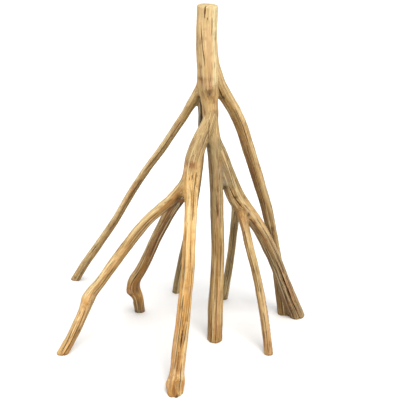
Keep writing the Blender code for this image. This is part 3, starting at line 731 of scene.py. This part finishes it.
# Stains and scars, some of them painted shade and light as marked, and the dark spots set in holes
# and hollows painted shade: x, y, z, how far they reach, tone, strength
stainsAndPaintedShading = [
    (39, -57, 560, 6.5, "scar", 1.0), (46, -61, 562, 5, "scar", 0.55),
    # on the knot at 54, -62: the pink spot at 551 is a painted highlight on its top, and the brown
    # and dark spots at 535 to 539, on the next two lines, are painted shade in the hollow under it
    (33, -50, 562, 4, "brown", 0.6), (54, -62, 551, 7, "pink", 0.6),
    (54, -61, 537, 7, "brown", 0.6), (54, -62, 535, 5, "dark", 1.0),
    (49, -62, 538, 4, "brown", 0.9), (59, -60, 539, 4, "brown", 0.9),
    (36, -34, 519, 4.4, "dark", 1.0), (79, -31, 517, 5, "dark", 0.95),
    (76, -37, 530, 3.5, "dark", 0.7), (61, -59, 563, 4, "scar", 0.4),
    (40, -59, 586, 3, "scar", 0.7), (20, -97, 404, 8, "scar", 1.0), (13, -87, 408, 5, "scar", 0.7),
    (27, -94, 400, 6, "ochre", 0.5), (8, -94, 393, 6, "pink", 0.8), (0, -98, 350, 10, "ochre", 0.5),
    # the dark and brown spots from here to the one at -5, -100, 321 are painted shade under the
    # crotch where the left and leftBack limbs part
    (-1, -109, 340, 6, "dark", 0.95), (-5, -110, 347, 5, "brown", 0.8),
    (2, -102, 329, 8, "dark", 1.0), (-8, -102, 331, 6, "dark", 0.8), (-7, -94, 321, 8, "dark", 0.8),
    (-5, -100, 321, 8, "dark", 0.85), (-30, -107, 312, 8, "brown", 0.45),
    (54, -53, 428, 5, "dark", 0.85), (54, -53, 418, 4, "dark", 0.8),
    (84, -34, 335, 6.5, "dark", 1.0), (78, -46, 375, 13, "grey", 0.85),
    (86, -41, 350, 12, "grey", 0.9), (84, -38, 372, 2.5, "brown", 0.6),
    (81, -44, 360, 2.5, "brown", 0.6), (107, -34, 314, 4, "dark", 0.85),
    (117, -30, 297, 4.5, "scar", 0.75), (136, -22, 273, 6, "dark", 0.9),
    (148, -13, 254, 7, "brown", 0.85), (126, -24, 287, 6, "brown", 0.7),
    (131, -27, 258, 5, "brown", 0.7), (150, -12, 262, 5, "scar", 0.6),
    (129, -23, 293, 5, "honey", 0.5), (172, -3, 210, 5, "scar", 0.8),
    (166, -4, 222, 6, "brown", 0.5), (-112, 44, 72, 7, "pink", 0.5),
    (-111, 49, 60, 4, "dark", 0.75), (-116, 40, 84, 5, "honey", 0.5),
    (-192, -103, 118, 8, "honey", 0.8), (-197, -103, 108, 4, "ochre", 0.8),
    (-188, -103, 113, 3, "brown", 0.6), (-254, 246, 8, 5, "brown", 0.8),
    (3, -226, 110, 2.4, "dark", 0.8), (4, -223, 116, 2.0, "dark", 0.6),
    # the dark spot 2 mm up on the front limb's foot is painted shade where it meets the floor
    (232, 54, 12, 6, "dark", 0.85), (229, 53, 24, 5, "brown", 0.6), (-8, -268, 2, 5, "dark", 0.85),
    (-7, -262, 22, 9, "brown", 0.55), (-24, -257, 14, 5, "pink", 0.6),
    # painted shade where the feet meet the floor, 2 mm up
    (-96, 80, 2, 7, "brown", 0.7), (-240, -107, 2, 5, "brown", 0.5),
]

# Narrow drying cracks too fine to cut: limb, heights, sides in degrees, width in mm
fineCracks = [
    ("trunk", 684, 640, 30, 30, 0.9), ("trunk", 660, 600, 62, 58, 0.8),
    ("trunk", 640, 610, -70, -70, 1.0), ("trunk", 600, 556, -44, -38, 0.8),
    ("trunk", 690, 600, -122, -118, 1.2), ("trunk", 620, 500, 118, 112, 1.0),
    ("trunk", 410, 330, -34, -30, 1.0), ("trunk", 380, 250, 38, 34, 0.9),
    ("trunk", 240, 120, 26, 24, 0.8), ("trunk", 150, 0, 4, 6, 1.0),
    ("trunk", 400, 100, 176, 170, 1.2), ("trunk", 170, 0, -58, -54, 0.9),
    ("farRight", 500, 400, 20, 16, 0.9), ("farRight", 420, 260, -8, -4, 0.9),
    ("farRight", 230, 60, 10, 8, 0.9), ("farRight", 480, 300, 150, 150, 1.1),
    ("farLeft", 470, 330, -6, -10, 0.8), ("farLeft", 320, 160, 14, 8, 0.8),
    ("farLeft", 380, 200, 170, 165, 1.0), ("back", 480, 320, -12, -8, 0.8),
    ("back", 200, 40, 6, 0, 0.8), ("front", 470, 424, 20, 26, 0.8),
    ("front", 390, 300, 30, 22, 0.9), ("front", 300, 180, -36, -30, 0.9),
    ("front", 230, 110, 40, 36, 1.0), ("front", 180, 40, -18, -22, 1.0),
    ("front", 60, 0, 26, 30, 1.2), ("front", 330, 180, 178, 172, 1.1),
    ("left", 320, 240, 0, -4, 0.8), ("left", 200, 130, 24, 20, 1.0), ("left", 60, 0, -34, -26, 1.2),
    ("left", 240, 120, 160, 160, 1.0), ("leftBack", 310, 180, 12, 6, 0.9),
    ("leftBack", 240, 120, -44, -40, 0.8), ("leftBack", 60, 0, -8, -8, 1.0),
    ("right", 400, 330, 36, 30, 0.9), ("right", 300, 210, -8, 0, 1.0),
    ("right", 250, 90, 40, 38, 1.1), ("right", 200, 0, -22, -18, 1.3),
    ("right", 120, 0, 50, 48, 1.0), ("right", 90, 0, 2, 4, 1.0),
    ("right", 300, 150, -150, -150, 1.1), ("right", 304, 276, 26, 34, 0.9),
    ("right", 262, 236, 40, 46, 0.9), ("front", 128, 84, 30, 24, 1.2),
    ("rightFront", 250, 120, -14, -10, 0.8), ("rightFront", 90, 0, 4, 2, 1.0),
    ("rightBack", 250, 60, 0, 0, 0.8), ("farRight", 110, 0, 30, 30, 1.2),
    ("farRight", 100, 0, -10, -10, 1.2), ("farLeft", 90, 0, 30, 26, 0.9),
]


# How the bare wood took its colour over the years, with painted light and shade laid over it.
# Lengths are in mm, slopes are the normal's z.
ageingAndPaintedShading = {
    "limbMix": 2.5,                     # over how much two limbs' colours run together
    "limbShift": 700,                   # sets each limb's grain well apart from the next one's
    "paintedLightAbove": (0.15, 0.75, 0.45),     # painted light on faces that look up: slopes, strength
    "paintedShadeBelow": (-0.15, 0.55, 0.8),    # painted shade on faces that look down: slopes, strength
    "shadeBelowTakes": (0.5, 0.58, 0.84),    # share of red, green and blue taken off by the painted shade below
    "footShade": (0.5, 5.0, 0.4),        # painted shade along the feet's lower edge: heights, strength
    "wornTrunk": (440, 520, 0.45),      # heights, strength
    "crackShadeDepth": 8,                       # depth in a crack or hollow past which its painted shade gets no darker
    "streakFade": 18,                   # length over which a streak fades in and out
    "crackFade": 14,                    # the same for a fine crack
    "crackReach": 5,                    # how far to the side of a fine crack it is looked for
    "noCrack": 9.0,                     # a distance to a fine crack that shows none
    "sawnWithin": 0.2,                  # of the floor or the top
    "sawnTop": "#ecd29a",
    "sawnFoot": "#a07c4c",
}


def smooth(values, low, high):
    share = ((values - low) / (high - low)).clip(0, 1)
    return share * share * (3 - 2 * share)


def alongBand(top, bottom, turnTop, turnBottom, height, turn, fade):
    # What a band's ends leave of it, and how far round from its middle each place is.
    share = (top - height) / (top - bottom)
    middle = np.radians(turnTop + (turnBottom - turnTop) * share)
    ends = smooth(height, bottom, bottom + fade) * (1 - smooth(height, top - fade, top))
    return ends, (turn - middle + math.pi) % (2 * math.pi) - math.pi


def paint(mesh):
    # Gives every point its wood colour with painted light and shade, its place in the grain and its
    # distance to a fine crack.
    places = meshPlaces(mesh)
    count = len(places)
    normals = np.empty(count * 3)
    mesh.vertex_normals.foreach_get("vector", normals)
    normals = normals.reshape(-1, 3)
    depths = []
    colours = []
    grains = []
    turns = []
    heights = []
    radii = []
    for limb in grown:
        gap, out, thickness, foot, marks = limb.beside(places)
        turn = limb.turnOf(out, marks)
        depths.append(gap - thickness / 2 * (1 + flutes(limb.number, out, foot)))
        table = limbColoursWithShade[limb.name]
        stops = np.array([-height for height, _ in table], dtype=float)
        tints = np.array([linear(code) for _, code in table])
        colours.append(np.stack([np.interp(-foot[:, 2], stops, tints[:, k]) for k in range(3)], 1))
        along = marks + ageingAndPaintedShading["limbShift"] * limb.number
        grains.append(np.stack([gap * np.cos(turn), gap * np.sin(turn), along], 1))
        turns.append(turn)
        heights.append(foot[:, 2])
        radii.append(thickness / 2)
    depths = np.array(depths)
    main = depths.argmin(0)
    row = np.arange(count)
    shares = np.exp((depths.min(0) - depths) / ageingAndPaintedShading["limbMix"])
    shares /= shares.sum(0)
    colour = (np.array(colours) * shares[..., None]).sum(0)
    grain = np.array(grains)[main, row]
    turn = np.array(turns)[main, row]
    height = np.array(heights)[main, row]
    radius = np.array(radii)[main, row]

    for name, top, bottom, turnTop, turnBottom, width, tone, strength in streaksAndPaintedShading:
        number = byName[name].number
        # degrees by which it strays round the limb, in a long wave and a short one
        drift = 4 * np.sin(height / 37 + 2 * number + turnTop) + 1.5 * np.sin(height / 14 + turnTop)
        ends, away = alongBand(top, bottom, turnTop, turnBottom, height, turn + np.radians(drift),
                               ageingAndPaintedShading["streakFade"])
        breadth = width / 2 * (0.8 + 0.3 * np.sin(height / 31 + number + width))
        weight = strength * ends * np.exp(-(away * radius / breadth) ** 2) * shares[number]
        colour += (linear(palette[tone]) - colour) * weight[:, None]
    # painted light on faces that look up, and painted shade on those that look down
    low, high, strength = ageingAndPaintedShading["paintedLightAbove"]
    above = smooth(normals[:, 2], low, high) * strength
    colour += (linear(palette["cream"]) - colour) * above[:, None]
    low, high, strength = ageingAndPaintedShading["paintedShadeBelow"]
    below = smooth(-normals[:, 2], low, high) * strength
    colour *= 1 - below[:, None] * np.array(ageingAndPaintedShading["shadeBelowTakes"])
    for x, y, z, reach, tone, strength in stainsAndPaintedShading:
        away = ((places - (x, y, z)) ** 2).sum(1)
        weight = strength * np.exp(-away / (reach * reach))
        colour += (linear(palette[tone]) - colour) * weight[:, None]

    # painted shade round the feet's lower edge, where they meet the floor
    low, high, strength = ageingAndPaintedShading["footShade"]
    colour *= 1 - strength * (1 - smooth(places[:, 2], low, high))[:, None]
    # the upper trunk is worn smoother than the roots
    low, high, strength = ageingAndPaintedShading["wornTrunk"]
    wear = 1 - strength * smooth(height, low, high) * (main == byName["trunk"].number)

    side = np.full(count, ageingAndPaintedShading["noCrack"])
    width = np.zeros(count)
    for number, (name, top, bottom, turnTop, turnBottom, broad) in enumerate(fineCracks):
        wander = 1.6 * np.sin(height / 31 + number) + 0.8 * np.sin(height / 12 + 3 * number)
        ends, away = alongBand(top, bottom, turnTop, turnBottom, height, turn + np.radians(wander),
                               ageingAndPaintedShading["crackFade"])
        near = np.abs(away * radius) < ageingAndPaintedShading["crackReach"]
        here = (main == byName[name].number) & (ends > 0) & near
        side[here] = (away * radius)[here]
        width[here] = (broad * ends)[here]

    outside, _ = woodSurface(places, False)
    topFace = places[:, 2] > wood["top"] - ageingAndPaintedShading["sawnWithin"]
    footFace = places[:, 2] < ageingAndPaintedShading["sawnWithin"]
    colour[topFace] = linear(ageingAndPaintedShading["sawnTop"])
    colour[footFace] = linear(ageingAndPaintedShading["sawnFoot"])
    # painted shade inside the open cracks and hollows: darker the deeper a point lies below the
    # uncut surface
    inner = (-outside / ageingAndPaintedShading["crackShadeDepth"]).clip(0, 1) * ~(topFace | footFace)

    for label, kind, values in (
        ("woodColourAndShading", "FLOAT_COLOR", np.hstack([colour.clip(0, 1), np.ones((count, 1))])),
        ("grainPlace", "FLOAT_VECTOR", grain),
        ("crackSide", "FLOAT", side),
        ("crackWidth", "FLOAT", width),
        ("inner", "FLOAT", inner),
        ("wear", "FLOAT", wear),
    ):
        layer = mesh.attributes.new(label, kind, "POINT")
        slot = {"FLOAT_COLOR": "color", "FLOAT_VECTOR": "vector", "FLOAT": "value"}[kind]
        layer.data.foreach_set(slot, values.ravel().astype(np.float32))


print("stage: colour and grain")
paint(surface)
surface.materials.clear()
surface.materials.append(woodMaterial)
surface.shade_smooth()
surface.set_sharp_from_angle(angle=math.radians(wood["sharpEdge"]))
surface.name = "root_wood"
root = bpy.data.objects.new("root_wood", surface)
bpy.context.scene.collection.objects.link(root)
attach(root, "root")
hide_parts("mangrove_root")

print("stage: studio")
# The room. Lengths are in metres and angles in degrees here, and the lens and its sensor are in mm.
studio = {
    "floorSpread": 24.0,
    "floorColour": "#f4f4f4",
    "floorRoughness": 0.9,
    "keyStrength": 2.5,
    "keySoftness": 30.0,        # how wide the light stands in the sky
    "keyColour": (1.0, 0.985, 0.955),
    "keyTilt": 36,              # from straight down
    "keyTurn": 16,              # to the right of the camera
    "skyTop": 1.0,              # strength overhead
    "skyEdge": 0.34,            # strength at the horizon
    "cameraPlace": (0.037, -2.042, 1.07),
    "cameraTilt": 69.26,        # from straight down
    "cameraLens": 97.2,
    "cameraSensor": 36,
}


# White painted board, rolled matt, so it shows only a soft shadow and no gleam.
def paintedBoard():
    material = bpy.data.materials.new("matt_white_painted_board")
    material.use_nodes = True
    shader = material.node_tree.nodes["Principled BSDF"]
    shader.inputs["Base Color"].default_value = (*linear(studio["floorColour"]), 1.0)
    shader.inputs["Roughness"].default_value = studio["floorRoughness"]
    return material


shaper = bmesh.new()
bmesh.ops.create_grid(shaper, x_segments=1, y_segments=1, size=studio["floorSpread"] / 2)
floorMesh = bpy.data.meshes.new("floor")
shaper.to_mesh(floorMesh)
shaper.free()
floorMesh.materials.append(paintedBoard())
floor = bpy.data.objects.new("floor", floorMesh)
bpy.context.scene.collection.objects.link(floor)

key = bpy.data.lights.new("key", "SUN")
key.energy = studio["keyStrength"]
key.angle = math.radians(studio["keySoftness"])
key.color = studio["keyColour"]
keyObject = bpy.data.objects.new("key", key)
keyObject.rotation_euler = (math.radians(studio["keyTilt"]), 0, math.radians(studio["keyTurn"]))
bpy.context.scene.collection.objects.link(keyObject)

sky = bpy.data.worlds.new("sky")
sky.use_nodes = True
way = addNode(sky.node_tree, "ShaderNodeTexCoord").outputs["Generated"]
height = addNode(sky.node_tree, "ShaderNodeSeparateXYZ", None, {0: way}).outputs["Z"]
level = addNode(sky.node_tree, "ShaderNodeMapRange", {"interpolation_type": "SMOOTHSTEP"}, {
    "Value": height, "To Min": studio["skyEdge"], "To Max": studio["skyTop"]})
sky.node_tree.links.new(level.outputs[0], sky.node_tree.nodes["Background"].inputs["Strength"])
sky.node_tree.nodes["Background"].inputs["Color"].default_value = (1, 1, 1, 1)
bpy.context.scene.world = sky

camera = bpy.data.cameras.new("camera")
camera.lens = studio["cameraLens"]
camera.sensor_width = studio["cameraSensor"]
cameraObject = bpy.data.objects.new("camera", camera)
cameraObject.location = studio["cameraPlace"]
cameraObject.rotation_euler = (math.radians(studio["cameraTilt"]), 0, 0)
bpy.context.scene.collection.objects.link(cameraObject)
bpy.context.scene.camera = cameraObject
bpy.context.scene.view_settings.view_transform = "Standard"
